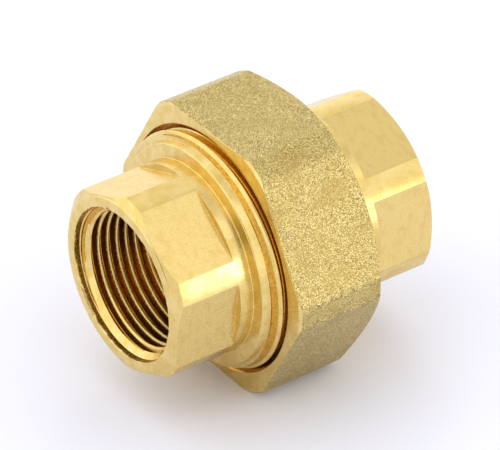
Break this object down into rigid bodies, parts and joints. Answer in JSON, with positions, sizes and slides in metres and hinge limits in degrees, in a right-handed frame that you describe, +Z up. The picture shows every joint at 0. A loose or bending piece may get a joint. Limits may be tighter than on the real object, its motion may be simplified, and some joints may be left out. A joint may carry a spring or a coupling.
{
  "type": "pipe union",
  "caption": "Straight brass pipe union with inside pipe threads at both ends and a hexagon nut that draws the two halves onto a conical seat.",
  "frame": {"origin": "on the pipe's axis, midway between the two mouths", "axes": "+X runs along the pipe from the threaded half's mouth to the tailpiece's mouth; +Z is up, with the nut lying on one of its flats"},
  "size_m": [0.052, 0.051, 0.046],
  "materials": {
    "machined_brass": "turned and milled, bright",
    "forged_brass": "forged and shot-blasted, sparkling matt",
    "seal_rubber": "moulded, satin"
  },
  "bodies": {
    "threaded_half": {"threaded_half": "machined_brass"},
    "seal_ring": {"seal_ring": "seal_rubber"},
    "union_nut": {"union_nut": "forged_brass"},
    "tailpiece": {"tailpiece": "machined_brass"}
  },
  "joints": [
    {"name": "withdraw", "type": "slide", "parent": "threaded_half", "child": "seal_ring", "axis": [1, 0, 0], "range_m": [0, 0.00808]},
    {"name": "nut_turn", "type": "hinge", "parent": "seal_ring", "child": "union_nut", "pos_m": [0, 0, 0], "axis": [1, 0, 0], "range_deg": [0, 1260]},
    {"name": "tail_swivel", "type": "hinge", "parent": "seal_ring", "child": "tailpiece", "pos_m": [0, 0, 0], "axis": [1, 0, 0], "continuous": true}
  ],
  "couplings": [
    {"joint": "withdraw", "follows": "nut_turn", "m_per_rad": 0.0003675}
  ]
}
